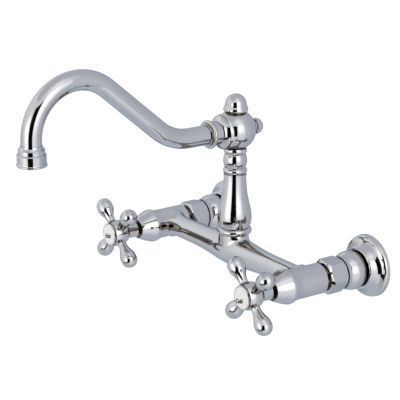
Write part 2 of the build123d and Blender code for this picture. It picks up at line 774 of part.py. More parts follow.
# One arm of the cross along X: a slim waist that swells into a ball
def handleArm():
    ballEnd = ARM_BALL_CENTRE + ARM_BALL_R
    halfway = ARM_BALL_R * sin(radians(45))
    growing = ARM_WAIST_AT + ARM_SWELL_AT * (ARM_BALL_CENTRE - ARM_WAIST_AT)
    growingR = ARM_WAIST_R + ARM_SWELL_RISE * (ARM_BALL_R - ARM_WAIST_R)
    waist = Spline(
        (ARM_ROOT_AT, ARM_ROOT_R),
        (ARM_WAIST_AT, ARM_WAIST_R),
        (growing, growingR),
        (ARM_BALL_CENTRE, ARM_BALL_R),
        tangents=[(1, -ARM_ROOT_SLOPE), (1, 0)],
    )
    ball = ThreePointArc((ARM_BALL_CENTRE, ARM_BALL_R), (ARM_BALL_CENTRE + halfway, halfway), (ballEnd, 0))
    back = Polyline((ballEnd, 0), (0, 0), (0, ARM_ROOT_R), (ARM_ROOT_AT, ARM_ROOT_R))
    return revolve(make_face(waist.edges() + ball.edges() + back.edges()), Axis.X)


# Cross handle: a thin rim round the button, a groove, a rounded hub with four arms and a skirt
def makeHandle(turn):
    rimBack = handleFace + HANDLE_RIM_WIDTH
    shoulder = rimBack + HANDLE_GROOVE_WIDTH
    body = turnedY(
        (0, handleFace),
        (HANDLE_RIM_R - EDGE, handleFace),
        (HANDLE_RIM_R, handleFace + EDGE),
        (HANDLE_RIM_R, rimBack),
        (HANDLE_GROOVE_R, rimBack),
        (HANDLE_GROOVE_R, shoulder),
        (HANDLE_SHOULDER_R, shoulder),
        ((HANDLE_HUB_R, armY), (HANDLE_HUB_REAR_R, handleHubBack)),
        (SKIRT_FRONT_R, handleHubBack),
        (SKIRT_REAR_R, skirtEnd),
        (0, skirtEnd),
    )
    for arm in range(ARM_COUNT):
        body += Pos(0, armY, 0) * Rot(0, turn + arm * 360 / ARM_COUNT, 0) * handleArm()
    body -= turnedY(
        (0, handleFace),
        (BUTTON_R + SLIP_FIT, handleFace),
        (BUTTON_R + SLIP_FIT, buttonSeat),
        (SCREW_HEAD_R + SLIP_FIT, buttonSeat),
        (SCREW_HEAD_R + SLIP_FIT, screwSeat),
        (SCREW_R + SLIP_FIT, screwSeat),
        (SCREW_R + SLIP_FIT, splineStart),
        (0, splineStart),
    )
    return body - splineBar(THREAD_FIT, splineStart, skirtEnd)


# Index button with a slightly domed face
def makeButton():
    domeR = (BUTTON_R**2 + BUTTON_CROWN**2) / (2 * BUTTON_CROWN)
    tilt = asin(BUTTON_R / domeR) / 2
    domeCentre = handleFace - BUTTON_CROWN + domeR
    return turnedY(
        (0, buttonSeat),
        (BUTTON_R, buttonSeat),
        (BUTTON_R, handleFace),
        ((domeR * sin(tilt), domeCentre - domeR * cos(tilt)), (0, handleFace - BUTTON_CROWN)),
    )


def makeHandleScrew():
    headFront = screwSeat - SCREW_HEAD_HEIGHT
    body = ringY(SCREW_HEAD_R, 0, headFront, screwSeat)
    body += ringY(SCREW_R, 0, screwSeat, screwSeat + SCREW_LENGTH)
    return body - hexY(SCREW_SOCKET_FLATS, headFront, headFront + SCREW_SOCKET_DEPTH)


# Rounded ring of a turned column between two heights, as stops that follow its foot
def roundedRing(radius, foot, top):
    return ((radius, (foot + top) / 2), (GROOVE_R, top))


def makeColumn():
    waistStops = [
        (VASE_HIP_R, VASE_HIP_Z),
        (VASE_BELLY_R, VASE_BELLY_Z),
        (VASE_WAIST_R, VASE_WAIST_Z),
        (VASE_TAPER_R, VASE_TAPER_Z),
        (VASE_NECK_R, VASE_TOP),
    ]
    gasketTop = BOSS_HEIGHT + COLUMN_GASKET
    body = turnedZ(
        (COLUMN_BORE_R, columnFoot),
        (COLUMN_THREAD_R, columnFoot),
        (COLUMN_THREAD_R, gasketTop),
        (COLUMN_GASKET_R + SLIP_FIT, gasketTop),
        (COLUMN_GASKET_R + SLIP_FIT, BOSS_HEIGHT),
        (BOSS_R, BOSS_HEIGHT),
        ((BASE_RING_R, (BOSS_HEIGHT + baseTop) / 2), (VASE_FOOT_R, baseTop + VASE_FOOT_RISE)),
        waistStops,
        (FILLET_RING_R, VASE_TOP),
        (FILLET_RING_R, filletRingTop),
        (GROOVE_R, filletRingTop),
        (GROOVE_R, midRingFoot),
        roundedRing(MID_RING_R, midRingFoot, midRingTop),
        (GROOVE_R, beadFoot),
        roundedRing(BEAD_R, beadFoot, beadTop),
        (GROOVE_R, topRingFoot),
        ((TOP_RING_R, (topRingFoot + columnTop) / 2), (TOP_RING_R - EDGE, columnTop)),
        (SWIVEL_R, columnTop),
        (SWIVEL_R, swivelShoulder),
        (SWIVEL_NECK_R, swivelShoulder),
        (SWIVEL_NECK_R, swivelTop),
        (FINIAL_THREAD_R + THREAD_FIT, swivelTop),
        (FINIAL_THREAD_R + THREAD_FIT, keeperTop - FINIAL_THREAD_LENGTH - FACE_GAP),
        (0, keeperTop - FINIAL_THREAD_LENGTH - FACE_GAP),
        (0, HUB_HEIGHT + SWIVEL_CHAMBER_HALF),
        (COLUMN_BORE_R, HUB_HEIGHT + SWIVEL_CHAMBER_HALF),
    )
    for rise in SWIVEL_RING_RISES:
        body -= Pos(0, 0, HUB_HEIGHT + rise) * sealGroove(SWIVEL_R, SWIVEL_RING_SECTION)
    for turn in (0, 90):
        body -= Pos(0, 0, HUB_HEIGHT) * Rot(0, 0, turn) * barX(SWIVEL_PORT_R, -SWIVEL_R, SWIVEL_R)
    return body


def makeSwivelRings():
    return Compound([
        Pos(0, 0, HUB_HEIGHT + rise) * sealRing(SWIVEL_R, SWIVEL_RING_SECTION)
        for rise in SWIVEL_RING_RISES
    ])


def makeColumnGasket():
    return ringZ(COLUMN_GASKET_R, COLUMN_THREAD_R + THREAD_FIT, BOSS_HEIGHT, BOSS_HEIGHT + COLUMN_GASKET)


def makeSwivelWasher():
    return ringZ(SWIVEL_WASHER_R, SWIVEL_R, columnTop, washerTop)


def makeFrictionRing():
    return ringZ(HUB_WELL_R - SLIP_FIT, SWIVEL_NECK_R, hubLedge + DISC_GAP, swivelTop)


def makeKeeper():
    return ringZ(HUB_WELL_R - SLIP_FIT, FINIAL_THREAD_R + THREAD_FIT, swivelTop, keeperTop)


# Finial: a bead under a dome, with a stub in the hub's well and a threaded shank
def makeFinial():
    base = hubCrown + FACE_GAP
    domeSeat = base + FINIAL_BEAD_HEIGHT
    beadMiddle = base + FINIAL_BEAD_AT * FINIAL_BEAD_HEIGHT
    domeBend = FINIAL_DOME_R * sin(radians(45))
    bead = [
        (FINIAL_BEAD_R, beadMiddle),
        (FINIAL_WAIST_R, base + FINIAL_WAIST_AT * FINIAL_BEAD_HEIGHT),
        (FINIAL_DOME_R, domeSeat),
    ]
    return turnedZ(
        (0, keeperTop - FINIAL_THREAD_LENGTH),
        (FINIAL_THREAD_R, keeperTop - FINIAL_THREAD_LENGTH),
        (FINIAL_THREAD_R, keeperTop),
        (FINIAL_STUB_R, keeperTop),
        (FINIAL_STUB_R, base),
        (FINIAL_BASE_R, base),
        bead,
        ((domeBend, domeSeat + domeBend), (0, domeSeat + FINIAL_DOME_R)),
    )


# Hub ball behind the band, with the swivel bore, water chamber and well
def makeHub():
    bore = SWIVEL_R + RUNNING_FIT
    chamberLow = HUB_HEIGHT - SWIVEL_CHAMBER_HALF
    chamberHigh = HUB_HEIGHT + SWIVEL_CHAMBER_HALF
    ball = turnedZ(
        (SWIVEL_WASHER_R + SLIP_FIT, hubFoot),
        (ballRadius(HUB_FOOT_DROP), hubFoot),
        ((HUB_R, HUB_HEIGHT), (ballRadius(HUB_CROWN_RISE), hubCrown)),
        (HUB_WELL_R, hubCrown),
        (HUB_WELL_R, hubLedge),
        (SWIVEL_NECK_R + RUNNING_FIT, hubLedge),
        (SWIVEL_NECK_R + RUNNING_FIT, swivelShoulder + FACE_GAP),
        (bore, swivelShoulder + FACE_GAP),
        (bore, chamberHigh),
        (SWIVEL_CHAMBER_R, chamberHigh),
        (SWIVEL_CHAMBER_R, chamberLow),
        (bore, chamberLow),
        (bore, washerTop + DISC_GAP),
        (SWIVEL_WASHER_R + SLIP_FIT, washerTop + DISC_GAP),
    )
    outside = HUB_R + 1
    cut = turnedY(
        (0, -outside),
        (outside, -outside),
        (outside, -BAND_BACK),
        (FERRULE_SEAL_R, -BAND_BACK),
        (FERRULE_SEAL_R, FERRULE_SEAL - BAND_BACK),
        (FERRULE_THREAD_R + THREAD_FIT, FERRULE_SEAL - BAND_BACK),
        (FERRULE_THREAD_R + THREAD_FIT, FERRULE_THREAD_LENGTH - BAND_BACK + SLIP_FIT),
        (0, FERRULE_THREAD_LENGTH - BAND_BACK + SLIP_FIT),
    )
    threadEnd = knobSeat - KNOB_THREAD_LENGTH - SLIP_FIT
    back = turnedY(
        (0, threadEnd),
        (KNOB_THREAD_R + THREAD_FIT, threadEnd),
        (KNOB_THREAD_R + THREAD_FIT, knobSeat - KNOB_SEAL),
        (KNOB_SEAL_R + SLIP_FIT, knobSeat - KNOB_SEAL),
        (KNOB_SEAL_R + SLIP_FIT, knobSeat),
        (outside, knobSeat),
        (outside, outside),
        (0, outside),
    )
    return Pos(0, bridgeY, 0) * (ball - Pos(0, 0, HUB_HEIGHT) * (cut + back))


# Places a piece turned about the spout's axis on the hub
def onHub(piece):
    return Pos(0, bridgeY, HUB_HEIGHT) * piece


# Ferrule: threaded into the hub, with the band, the front of the ball and the collar round the tube
def makeFerrule():
    bandR = (BAND_R + BAND_FACE_R) / 2 + EDGE / 4
    dome = [
        (FERRULE_DOME_SIDE_R, -domeSide),
        (FERRULE_NECK_R, -domeFront),
    ]
    return onHub(turnedY(
        (tubeBoreR, FERRULE_THREAD_LENGTH - BAND_BACK),
        (FERRULE_THREAD_R, FERRULE_THREAD_LENGTH - BAND_BACK),
        (FERRULE_THREAD_R, -BAND_BACK),
        (BAND_R - EDGE, -BAND_BACK),
        (BAND_R, -BAND_BACK - EDGE),
        ((bandR, -BAND_BACK - BAND_WIDTH / 2), (BAND_FACE_R, -bandFace)),
        (BAND_FACE_R - BAND_GROOVE, -bandFace),
        (BAND_FACE_R - BAND_GROOVE, -domeBack),
        (FERRULE_DOME_R, -domeBack),
        dome,
        (FERRULE_NECK_R, -collarBack),
        ((COLLAR_R, -COLLAR_FROM_AXIS), (COLLAR_STEP_R, -collarFace)),
        (COLLAR_STEP_R, -ferruleFace + EDGE),
        (COLLAR_STEP_R - EDGE, -ferruleFace),
        (TUBE_R + THREAD_FIT, -ferruleFace),
        (TUBE_R + THREAD_FIT, -tubeStart),
        (tubeBoreR, -tubeStart),
    ))


def makeFerruleSeal():
    return onHub(ringY(FERRULE_SEAL_R - SLIP_FIT, FERRULE_THREAD_R + THREAD_FIT, -BAND_BACK, FERRULE_SEAL - BAND_BACK))


# Knob: a threaded plug for the hub's cross bore with a collar and a dome
def makeKnob():
    collar = knobSeat + KNOB_COLLAR_WIDTH
    domeSeat = collar + KNOB_R - KNOB_COLLAR_R + KNOB_SIDE
    bend = KNOB_R * sin(radians(45))
    return onHub(turnedY(
        (0, knobSeat - KNOB_THREAD_LENGTH),
        (KNOB_THREAD_R, knobSeat - KNOB_THREAD_LENGTH),
        (KNOB_THREAD_R, knobSeat),
        (KNOB_COLLAR_R, knobSeat),
        (KNOB_COLLAR_R, collar),
        (KNOB_R - EDGE, collar),
        (KNOB_R, collar + EDGE),
        (KNOB_R, domeSeat),
        ((bend, domeSeat + bend), (0, domeSeat + KNOB_R)),
    ))


def makeKnobSeal():
    return onHub(ringY(KNOB_SEAL_R, KNOB_THREAD_R + THREAD_FIT, knobSeat - KNOB_SEAL, knobSeat))


# Swan-neck tube swept along its centre line
def makeTube():
    start = Vector(0, bridgeY - tubeStart, HUB_HEIGHT)
    bendStart = Vector(0, bridgeY - FIRST_STRAIGHT, HUB_HEIGHT)
    first = Line(start, bendStart)
    side = Vector(0, -sin(rise / 2), 1 - cos(rise / 2))
    middle = bendStart + FIRST_BEND_R * side
    end = bendStart + FIRST_BEND_R * Vector(0, -sin(rise), 1 - cos(rise))
    bend = ThreePointArc(bendStart, middle, end)
    archStart = end + slope * Vector(0, -cos(rise), sin(rise))
    centre = archStart + ARCH_R * Vector(0, -sin(rise), -cos(rise))
    top = centre + Vector(0, ARCH_R * sin(rise / 2 - pi / 4), ARCH_R * cos(rise / 2 - pi / 4))
    arch = ThreePointArc(archStart, top, centre + Vector(0, -ARCH_R, 0))
    drop = Line(arch @ 1, (0, outletY, adapterTop - ADAPTER_SOCKET))
    path = first + bend + Line(end, archStart) + arch + drop
    return sweep(Plane(start, z_dir=(0, -1, 0)) * (Circle(TUBE_R) - Circle(tubeBoreR)), path=path)


# Places a piece turned about the outlet's axis
def atOutlet(piece):
    return Pos(0, outletY, 0) * piece


# Adapter: flares from the tube to a collar and ends in the thread for the housing
def makeAdapter():
    socket = TUBE_R + THREAD_FIT
    flareR = TUBE_R + ADAPTER_LIP
    flareMiddle = (
        flareR + ADAPTER_FLARE_AT * (ADAPTER_R - flareR),
        flareTop + ADAPTER_FLARE_DROP * (adapterTop - flareTop),
    )
    return atOutlet(turnedZ(
        (socket, flareTop),
        (flareR, flareTop),
        (flareMiddle, (ADAPTER_R - EDGE, adapterTop)),
        (ADAPTER_R, adapterTop - EDGE),
        (ADAPTER_R, adapterFoot),
        (ADAPTER_THREAD_R, adapterFoot),
        (ADAPTER_THREAD_R, adapterEnd),
        (tubeBoreR, adapterEnd),
        (tubeBoreR, adapterTop - ADAPTER_SOCKET),
        (socket, adapterTop - ADAPTER_SOCKET),
    ))


# Housing: a threaded cup that tapers a little to the step of its lip
def makeHousing():
    lipTop = housingFoot + HOUSING_LIP_HEIGHT
    bore = ADAPTER_THREAD_R + THREAD_FIT
    return atOutlet(turnedZ(
        (bore, housingTop),
        (HOUSING_R - HOUSING_BEVEL, housingTop),
        (HOUSING_R, housingTop - HOUSING_BEVEL),
        (HOUSING_R - HOUSING_TAPER, lipTop + HOUSING_LIP_STEP),
        ((HOUSING_R - HOUSING_TAPER / 2, lipTop), (HOUSING_LIP_R, lipTop - HOUSING_LIP_STEP)),
        (HOUSING_LIP_R, housingFoot + HOUSING_BEVEL),
        (HOUSING_LIP_R - HOUSING_BEVEL, housingFoot),
        (HOUSING_MOUTH_R, housingFoot),
        (HOUSING_MOUTH_R, housingFloor),
        (bore, housingFloor),
    ))


# Flow insert: a pierced plastic disc on the housing's floor
def makeInsert():
    disc = ringZ(ADAPTER_THREAD_R - SLIP_FIT, 0, housingFloor, insertTop)
    for x, y in holeRings(INSERT_PITCH, 3):
        disc -= Pos(x, y, 0) * ringZ(INSERT_HOLE_R, 0, housingFloor, insertTop)
    return atOutlet(disc)


def makeScreen():
    disc = ringZ(ADAPTER_THREAD_R - SLIP_FIT, 0, insertTop, screenTop)
    for x, y in holeRings(SCREEN_PITCH, 4):
        disc -= Pos(x, y, 0) * ringZ(SCREEN_HOLE_R, 0, insertTop, screenTop)
    return atOutlet(disc)


def makeAeratorWasher():
    return atOutlet(ringZ(ADAPTER_THREAD_R - SLIP_FIT, AERATOR_WASHER_BORE_R, screenTop, adapterEnd))


onColumn = Pos(0, bridgeY, 0)
nodes = {
    "bridge_body": makeBridge(),
    "column": onColumn * makeColumn(),
    "column_gasket": onColumn * makeColumnGasket(),
    "swivel_o_rings": onColumn * makeSwivelRings(),
    "swivel_washer": onColumn * makeSwivelWasher(),
    "friction_ring": onColumn * makeFrictionRing(),
    "keeper_washer": onColumn * makeKeeper(),
    "finial": onColumn * makeFinial(),
    "hub_ball": makeHub(),
    "spout_ferrule": makeFerrule(),
    "ferrule_seal": makeFerruleSeal(),
    "rear_knob": makeKnob(),
    "knob_seal": makeKnobSeal(),
    "spout_tube": makeTube(),
    "aerator_adapter": makeAdapter(),
    "aerator_washer": makeAeratorWasher(),
    "aerator_screen": makeScreen(),
    "aerator_insert": makeInsert(),
    "aerator_housing": makeHousing(),
}
valveLine = {
    "union_washer": makeUnionWasher(),
    "strainer": makeStrainer(),
    "inlet_connector": makeConnector(),
    "grip_ring": makeGripRing(),
    "wall_flange": makeFlange(),
    "flange_gasket": makeFlangeGasket(),
    "bonnet": makeBonnet(),
    "cartridge_body": makeCartridge(),
    "seat_seal": makeSeatSeal(),
    "fixed_disc": makeFixedDisc(),
    "moving_disc": makeMovingDisc(),
    "spindle": makeSpindle(),
    "spindle_o_rings": makeSpindleRings(),
    "circlip": makeCirclip(),
    "handle_screw": makeHandleScrew(),
    "index_button": makeButton(),
}
for side, place in sides.items():
    for name, piece in valveLine.items():
        nodes[side + "_" + name] = Pos(place, 0, 0) * piece
nodes["hot_union_nut"] = Pos(-half, 0, 0) * makeUnionNut(NUT_TURN)
nodes["cold_union_nut"] = Pos(half, 0, 0) * makeUnionNut(NUT_TURN + COLD_NUT_TURN)
nodes["hot_handle_cross"] = Pos(-half, 0, 0) * makeHandle(ARM_TURN)
nodes["cold_handle_cross"] = Pos(half, 0, 0) * makeHandle(ARM_TURN + COLD_ARM_TURN)

os.makedirs("parts", exist_ok=True)
for name, piece in nodes.items():
    export_step(piece, "parts/" + name + ".step")
print(len(nodes), "nodes written")
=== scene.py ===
import json
import math

import bmesh
import bpy
from mathutils import Matrix, Vector


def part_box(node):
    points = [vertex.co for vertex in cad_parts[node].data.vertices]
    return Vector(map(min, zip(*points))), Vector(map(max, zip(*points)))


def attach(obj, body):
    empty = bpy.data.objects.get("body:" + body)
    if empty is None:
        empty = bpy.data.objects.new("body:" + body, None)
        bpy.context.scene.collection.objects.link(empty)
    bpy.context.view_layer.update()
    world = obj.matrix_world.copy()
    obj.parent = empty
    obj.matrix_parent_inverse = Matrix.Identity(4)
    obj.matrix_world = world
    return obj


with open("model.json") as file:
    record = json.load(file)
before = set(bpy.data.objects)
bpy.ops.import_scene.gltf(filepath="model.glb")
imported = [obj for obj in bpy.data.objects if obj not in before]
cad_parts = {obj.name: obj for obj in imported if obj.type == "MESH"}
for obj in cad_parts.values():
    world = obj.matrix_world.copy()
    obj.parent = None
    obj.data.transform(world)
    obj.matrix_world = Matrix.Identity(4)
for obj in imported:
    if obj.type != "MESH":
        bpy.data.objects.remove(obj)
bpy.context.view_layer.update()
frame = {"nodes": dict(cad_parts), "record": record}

cad = frame["nodes"]
print("faucet parts loaded:", len(cad))


# camera

cameraSetup = {
    "azimuth": 53.9,       # degrees round from straight in front, towards the cold side
    "elevation": 17.4,
    "roll": 0.31,
    "distance": 1.4806,
    "lens": 146.79,
    "sensor": 36,
    "centre": (0.0, -0.0725, 0.0),      # foot of the column
    "sideways": 0.030964,               # where that point sits in the picture plane, metres
    "upwards": -0.045172,
}


# unit vector that points round from the front and up by these degrees
def direction(azimuth, elevation):
    az, el = math.radians(azimuth), math.radians(elevation)
    return Vector((math.sin(az) * math.cos(el), -math.cos(az) * math.cos(el), math.sin(el)))


def cameraAxes(setup):
    az, roll = math.radians(setup["azimuth"]), math.radians(setup["roll"])
    back = direction(setup["azimuth"], setup["elevation"])
    level = Vector((math.cos(az), math.sin(az), 0))
    above = back.cross(level)
    right = level * math.cos(roll) + above * math.sin(roll)
    up = above * math.cos(roll) - level * math.sin(roll)
    return right, up, back


def addCamera(setup):
    right, up, back = cameraAxes(setup)
    data = bpy.data.cameras.new("photoCamera")
    data.lens = setup["lens"]
    data.sensor_width = setup["sensor"]
    camera = bpy.data.objects.new("photoCamera", data)
    bpy.context.scene.collection.objects.link(camera)
    place = Vector(setup["centre"]) + back * setup["distance"]
    place = place - right * setup["sideways"] - up * setup["upwards"]
    turn = Matrix((right, up, back)).transposed().to_4x4()
    camera.matrix_world = Matrix.Translation(place) @ turn
    bpy.context.scene.camera = camera


addCamera(cameraSetup)
print("camera set")


# small helpers for node trees

def newMaterial(name):
    material = bpy.data.materials.new(name)
    material.use_nodes = True
    material.node_tree.nodes.clear()
    return material, material.node_tree


def addNode(tree, kind, values=None, links=None, **settings):
    node = tree.nodes.new(kind)
    for key, value in settings.items():
        setattr(node, key, value)
    for key, value in (values or {}).items():
        node.inputs[key].default_value = value
    for key, socket in (links or {}).items():
        tree.links.new(socket, node.inputs[key])
    return node


def addMath(tree, operation, *sockets):
    node = addNode(tree, "ShaderNodeMath", links=dict(enumerate(sockets)), operation=operation)
    return node.outputs[0]


# two stop ramp
def addRamp(tree, factor, stops):
    ramp = addNode(tree, "ShaderNodeValToRGB", links={"Fac": factor})
    for element, (place, colour) in zip(ramp.color_ramp.elements, stops):
        element.position = place
        element.color = (*colour, 1)
    return ramp.outputs["Color"]


def addNoise(tree, values, links=None):
    spot = addNode(tree, "ShaderNodeTexCoord")
    noise = addNode(tree, "ShaderNodeTexNoise", values, {"Vector": spot.outputs["Object"], **(links or {})})
    return noise.outputs["Fac"]


# one for the rays that see the backdrop plainly, whether straight, mirrored or through glass
def plainRays(tree):
    rays = addNode(tree, "ShaderNodeLightPath").outputs
    seen = addMath(tree, "MAXIMUM", rays["Is Camera Ray"], rays["Is Glossy Ray"])
    return addMath(tree, "MAXIMUM", seen, rays["Is Transmission Ray"])


def newGroup(name, inputs, outputs):
    group = bpy.data.node_groups.new(name, "ShaderNodeTree")
    for label, kind, value in inputs:
        socket = group.interface.new_socket(label, in_out="INPUT", socket_type=kind)
        socket.default_value = value
    for label, kind in outputs:
        group.interface.new_socket(label, in_out="OUTPUT", socket_type=kind)
    return group, group.nodes.new("NodeGroupInput"), group.nodes.new("NodeGroupOutput")


# shared surface effects

surfaceOutputs = [
    ("Color", "NodeSocketColor"),
    ("Roughness", "NodeSocketFloat"),
    ("Normal", "NodeSocketVector"),
]


def closeGroup(group, out, colour, roughness, bump):
    group.links.new(colour.outputs["Result"], out.inputs["Color"])
    group.links.new(roughness, out.inputs["Roughness"])
    group.links.new(bump.outputs["Normal"], out.inputs["Normal"])
    return group


polishSetup = {
    "hazeStart": 0.42,      # patch noise at which the haze begins
    "hazeFull": 0.72,
    "patchDetail": 4.0,
    "patchRoughness": 0.55,
    "grainScale": 900.0,
    "grainDetail": 2.0,
    "swellScale": 55.0,
    "swellDetail": 1.0,
    "swellHeight": 0.0002,
}


# mirror polish with faint patches of haze and a slow swell
def makePolishGroup(setup):
    group, entry, out = newGroup("polish", [
        ("Clean", "NodeSocketColor", (0.55, 0.56, 0.58, 1)),
        ("Haze", "NodeSocketColor", (0.5, 0.51, 0.52, 1)),
        ("Patch Size", "NodeSocketFloat", 40.0),
        ("Gloss", "NodeSocketFloat", 0.03),
        ("Dulling", "NodeSocketFloat", 0.03),
        ("Wave", "NodeSocketFloat", 0.02),
    ], surfaceOutputs)
    given = entry.outputs
    patches = addNoise(group, {"Detail": setup["patchDetail"], "Roughness": setup["patchRoughness"]},
                       {"Scale": given["Patch Size"]})
    mask = addNode(group, "ShaderNodeMapRange",
                   {"From Min": setup["hazeStart"], "From Max": setup["hazeFull"]},
                   {"Value": patches}).outputs["Result"]
    tint = addNode(group, "ShaderNodeMix",
                   links={"Factor": mask, "A": given["Clean"], "B": given["Haze"]}, data_type="RGBA")
    grain = addNoise(group, {"Scale": setup["grainScale"], "Detail": setup["grainDetail"]})
    dull = addMath(group, "MULTIPLY", mask, grain)
    rough = addMath(group, "MULTIPLY_ADD", dull, given["Dulling"], given["Gloss"])
    swell = addNoise(group, {"Scale": setup["swellScale"], "Detail": setup["swellDetail"]})
    bump = addNode(group, "ShaderNodeBump", {"Distance": setup["swellHeight"]},
                   {"Height": swell, "Strength": given["Wave"]})
    return closeGroup(group, out, tint, rough, bump)


speckleSetup = {
    "detail": 5.0,
    "roughness": 0.6,
    "height": 0.00015,
}


# fine grain that changes colour, roughness and relief together
def makeSpeckleGroup(setup):
    group, entry, out = newGroup("speckle", [
        ("Base", "NodeSocketColor", (0.8, 0.8, 0.8, 1)),
        ("Fleck", "NodeSocketColor", (0.6, 0.6, 0.6, 1)),
        ("Grain Size", "NodeSocketFloat", 400.0),
        ("Amount", "NodeSocketFloat", 0.3),
        ("Smooth", "NodeSocketFloat", 0.35),
        ("Rough", "NodeSocketFloat", 0.6),
        ("Relief", "NodeSocketFloat", 0.1),
    ], surfaceOutputs)
    given = entry.outputs
    grain = addNoise(group, {"Detail": setup["detail"], "Roughness": setup["roughness"]},
                     {"Scale": given["Grain Size"]})
    share = addMath(group, "MULTIPLY", grain, given["Amount"])
    tint = addNode(group, "ShaderNodeMix",
                   links={"Factor": share, "A": given["Base"], "B": given["Fleck"]}, data_type="RGBA")
    rough = addNode(group, "ShaderNodeMix",
                    links={"Factor": grain, "A": given["Smooth"], "B": given["Rough"]}, data_type="FLOAT")
    bump = addNode(group, "ShaderNodeBump", {"Distance": setup["height"]},
                   {"Height": grain, "Strength": given["Relief"]})
    return closeGroup(group, out, tint, rough.outputs["Result"], bump)


polish = makePolishGroup(polishSetup)
speckle = makeSpeckleGroup(speckleSetup)


# painted shade: in glossy rays the metal's colour is swapped for this darker brown one, so metal seen in
# metal looks shaded
def plated(name, effect, values, metallic, tint=None, coat=0.0, paintedReflectionShade=None):
    material, tree = newMaterial(name)
    surface = addNode(tree, "ShaderNodeGroup", values, node_tree=effect)
    colour = surface.outputs["Color"]
    if paintedReflectionShade:
        # painted shade in reflections: glossy rays get the darker colour instead of the surface colour
        rays = addNode(tree, "ShaderNodeLightPath")
        reflectionShadeMix = addNode(tree, "ShaderNodeMix", {"B": (*paintedReflectionShade, 1)},
                        {"Factor": rays.outputs["Is Glossy Ray"], "A": colour}, data_type="RGBA")
        colour = reflectionShadeMix.outputs["Result"]
    shader = addNode(tree, "ShaderNodeBsdfPrincipled", {"Metallic": metallic, "Coat Weight": coat},
                     {"Base Color": colour, "Roughness": surface.outputs["Roughness"],
                      "Normal": surface.outputs["Normal"]})
    if tint:
        shader.inputs["Specular Tint"].default_value = (*tint, 1)
    addNode(tree, "ShaderNodeOutputMaterial", links={"Surface": shader.outputs["BSDF"]})
    return material


finishes = {
    "chrome": plated("polishedChrome", polish, {
        "Clean": (0.55, 0.555, 0.57, 1), "Haze": (0.52, 0.525, 0.54, 1), "Patch Size": 35.0,
        "Gloss": 0.006, "Dulling": 0.035, "Wave": 0.02}, 1.0, tint=(0.68, 0.71, 0.76),
        # painted shade: darker brown for chrome where it is seen in chrome
        paintedReflectionShade=(0.3, 0.26, 0.22)),
    "brass": plated("turnedBrass", speckle, {
        "Base": (0.62, 0.45, 0.2, 1), "Fleck": (0.42, 0.29, 0.12, 1), "Grain Size": 260.0, "Amount": 0.5,
        "Smooth": 0.2, "Rough": 0.38, "Relief": 0.1}, 1.0),
    # painted shade: near-black brass for the spindles, in place of the shade in the gap behind the handles
    "darkBrass": plated("spindleShadeBrass", speckle, {
        "Base": (0.02, 0.015, 0.01, 1), "Fleck": (0.05, 0.035, 0.02, 1), "Grain Size": 260.0, "Amount": 0.4,
        "Smooth": 0.35, "Rough": 0.5, "Relief": 0.1}, 1.0),
    "steel": plated("plainSteel", speckle, {
        "Base": (0.55, 0.55, 0.56, 1), "Fleck": (0.4, 0.4, 0.41, 1), "Grain Size": 700.0, "Amount": 0.4,
        "Smooth": 0.22, "Rough": 0.4, "Relief": 0.1}, 1.0),
    "rubber": plated("sealRubber", speckle, {
        "Base": (0.02, 0.02, 0.021, 1), "Fleck": (0.06, 0.06, 0.06, 1), "Grain Size": 500.0, "Amount": 0.5,
        "Smooth": 0.5, "Rough": 0.8, "Relief": 0.25}, 0.0),
    "plastic": plated("mouldedPlastic", speckle, {
        "Base": (0.8, 0.8, 0.77, 1), "Fleck": (0.68, 0.68, 0.65, 1), "Grain Size": 600.0, "Amount": 0.3,
        "Smooth": 0.3, "Rough": 0.5, "Relief": 0.1}, 0.0),
    "ceramic": plated("lappedCeramic", speckle, {
        "Base": (0.85, 0.84, 0.81, 1), "Fleck": (0.75, 0.73, 0.69, 1), "Grain Size": 900.0, "Amount": 0.3,
        "Smooth": 0.12, "Rough": 0.25, "Relief": 0.04}, 0.0),
    "enamel": plated("indexEnamel", speckle, {
        "Base": (0.93, 0.91, 0.885, 1), "Fleck": (0.87, 0.84, 0.8, 1), "Grain Size": 300.0, "Amount": 0.3,
        "Smooth": 0.08, "Rough": 0.2, "Relief": 0.03}, 0.0, coat=0.5),
}


# painted shade: the spindles are shown nearly black, darker than the rest of the brass, standing in for the
# shade in the gap behind the handles
slots = {part["node"]: part["material_slot"] for part in frame["record"]["subparts"]}
slots.update({node: "darkBrass" for node in cad if node.endswith("_spindle")})
for node, obj in cad.items():
    for place in obj.material_slots:
        place.material = finishes[slots[node]]
print("finishes set:", len(finishes))


# lettering on the two buttons

lettering = {
    "words": {"hot": "Hot", "cold": "Cold"},
    "size": {"hot": 0.006, "cold": 0.005},
    "slant": 0.4,           # lean of the letters
    "weight": 0.0003,       # thickens the strokes
    "tilt": 14,             # degrees the words climb across the button
    "centre": {"hot": (-0.0018, -0.0018), "cold": (-0.0031, -0.0038)},      # from the button's middle
    "proud": 0.00004,       # thickness of the paint
    "domeRadius": 0.0886,   # of the button's face
}


def letterPaint():
    return plated("letterPaint", speckle, {
        "Base": (0.012, 0.011, 0.01, 1), "Fleck": (0.04, 0.038, 0.036, 1), "Grain Size": 900.0,
        "Amount": 0.5, "Smooth": 0.25, "Rough": 0.5, "Relief": 0.05}, 0.0)


